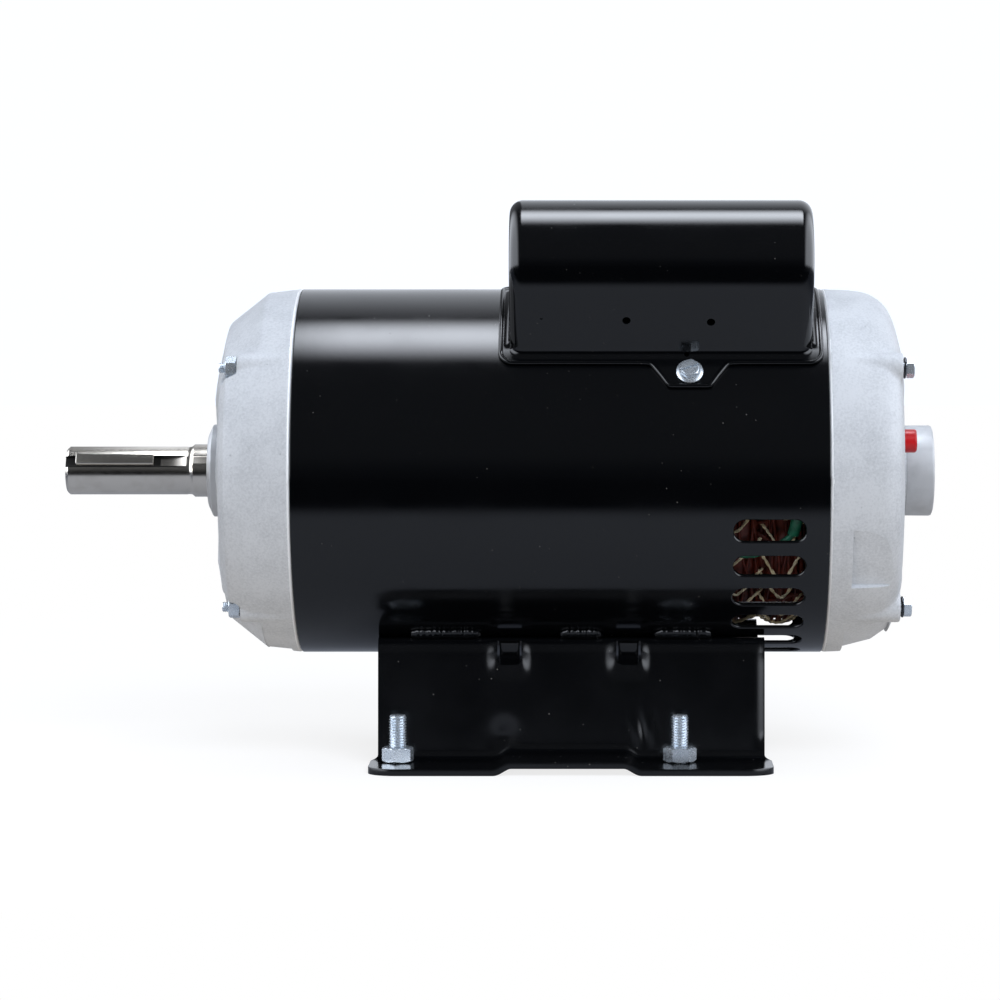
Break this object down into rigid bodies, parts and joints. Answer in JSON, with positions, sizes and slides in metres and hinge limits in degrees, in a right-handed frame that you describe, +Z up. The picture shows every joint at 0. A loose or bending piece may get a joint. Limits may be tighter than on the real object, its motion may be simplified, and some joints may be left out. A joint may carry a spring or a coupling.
{
  "type": "electric motor",
  "caption": "Foot-mounted single-phase electric motor: vented tubular shell between cast end bells, keyed shaft, capacitor cover, reset button and stamped base.",
  "frame": {"origin": "under the feet, at the middle of the overall length and width", "axes": "+X along the shaft from its keyed end to the rear hub, -Y towards the side with the capacitor cover, +Z up from the feet"},
  "size_m": [0.4014, 0.173, 0.2556],
  "materials": {
    "black_enamel": "gloss black enamel",
    "cast_aluminium": "fine sand-blasted casting",
    "zinc_plate": "bright zinc plate",
    "turned_steel": "turned and ground",
    "lamination_steel": "stacked laminations",
    "enamelled_wire": null,
    "lacing_cord": "waxed cord",
    "red_plastic": "moulded",
    "black_plastic": "moulded",
    "brown_board": "pressed board",
    "green_sleeve": "insulated lead",
    "rubber": "moulded",
    "spring_steel": "spring temper"
  },
  "bodies": {
    "frame": {"shell": "black_enamel", "capacitor_cover": "black_enamel", "base": "black_enamel", "drive_end_bell": "cast_aluminium", "rear_end_bell": "cast_aluminium", "drive_bearing_outer_ring": "turned_steel", "rear_bearing_outer_ring": "turned_steel", "stator_core": "lamination_steel", "stator_winding": "enamelled_wire", "rear_winding_layer": "enamelled_wire", "winding_lacing": "lacing_cord", "start_switch_plate": "brown_board", "terminal_board": "black_plastic", "overload_protector": "black_plastic", "start_capacitor": "black_plastic", "capacitor_lead_1": "black_plastic", "capacitor_lead_2": "black_plastic", "ground_lead": "green_sleeve", "wire_grommet": "rubber", "wave_washer": "spring_steel", "cover_screw_near": "zinc_plate", "cover_screw_far": "zinc_plate", "base_stud_1": "zinc_plate", "base_nut_1": "zinc_plate", "through_bolt_1": "zinc_plate", "through_nut_1": "zinc_plate", "through_washer_1": "spring_steel", "base_stud_2": "zinc_plate", "base_nut_2": "zinc_plate", "through_bolt_2": "zinc_plate", "through_nut_2": "zinc_plate", "through_washer_2": "spring_steel", "base_stud_3": "zinc_plate", "base_nut_3": "zinc_plate", "through_bolt_3": "zinc_plate", "through_nut_3": "zinc_plate", "through_washer_3": "spring_steel", "base_stud_4": "zinc_plate", "base_nut_4": "zinc_plate", "through_bolt_4": "zinc_plate", "through_nut_4": "zinc_plate", "through_washer_4": "spring_steel"},
    "rotor": {"shaft": "turned_steel", "shaft_key": "turned_steel", "rotor_core": "lamination_steel", "rotor_cage": "cast_aluminium", "governor_plate": "zinc_plate", "drive_bearing_inner_ring": "turned_steel", "rear_bearing_inner_ring": "turned_steel"},
    "drive_ball_cage": {"drive_ball_cage": "turned_steel"},
    "rear_ball_cage": {"rear_ball_cage": "turned_steel"},
    "governor_collar": {"governor_collar": "black_plastic"},
    "governor_weight_1": {"governor_weight_1": "zinc_plate"},
    "governor_weight_2": {"governor_weight_2": "zinc_plate"},
    "switch_lever": {"switch_lever": "spring_steel"},
    "reset_button": {"reset_button": "red_plastic"}
  },
  "joints": [
    {"name": "rotor_spin", "type": "hinge", "parent": "frame", "child": "rotor", "pos_m": [0, 0, 0.131], "axis": [1, 0, 0], "continuous": true},
    {"name": "drive_cage_spin", "type": "hinge", "parent": "frame", "child": "drive_ball_cage", "pos_m": [-0.1135, 0, 0.131], "axis": [1, 0, 0], "continuous": true},
    {"name": "rear_cage_spin", "type": "hinge", "parent": "frame", "child": "rear_ball_cage", "pos_m": [0.1891, 0, 0.131], "axis": [1, 0, 0], "continuous": true},
    {"name": "collar_slide", "type": "slide", "parent": "rotor", "child": "governor_collar", "axis": [-1, 0, 0], "range_m": [0, 0.003], "stiffness_N_per_m": 600},
    {"name": "weight_1_swing", "type": "hinge", "parent": "rotor", "child": "governor_weight_1", "pos_m": [0.14, -0.00235, 0.1579], "axis": [0, 0.9962, 0.0872], "range_deg": [0, 20.5]},
    {"name": "weight_2_swing", "type": "hinge", "parent": "rotor", "child": "governor_weight_2", "pos_m": [0.14, 0.00235, 0.1041], "axis": [0, -0.9962, -0.0872], "range_deg": [0, 20.5]},
    {"name": "switch_lever_swing", "type": "hinge", "parent": "frame", "child": "switch_lever", "pos_m": [0.155, 0.00383, 0.08717], "axis": [0, -0.9962, -0.0872], "range_deg": [0, 8]},
    {"name": "button_press", "type": "slide", "parent": "frame", "child": "reset_button", "axis": [-1, 0, 0], "range_m": [0, 0.0025], "stiffness_N_per_m": 500}
  ],
  "couplings": [
    {"joint": "drive_cage_spin", "follows": "rotor_spin", "ratio": 0.418},
    {"joint": "rear_cage_spin", "follows": "rotor_spin", "ratio": 0.441},
    {"joint": "weight_1_swing", "follows": "collar_slide", "rad_per_m": 116},
    {"joint": "weight_2_swing", "follows": "collar_slide", "rad_per_m": 116},
    {"joint": "switch_lever_swing", "follows": "collar_slide", "rad_per_m": 45}
  ]
}
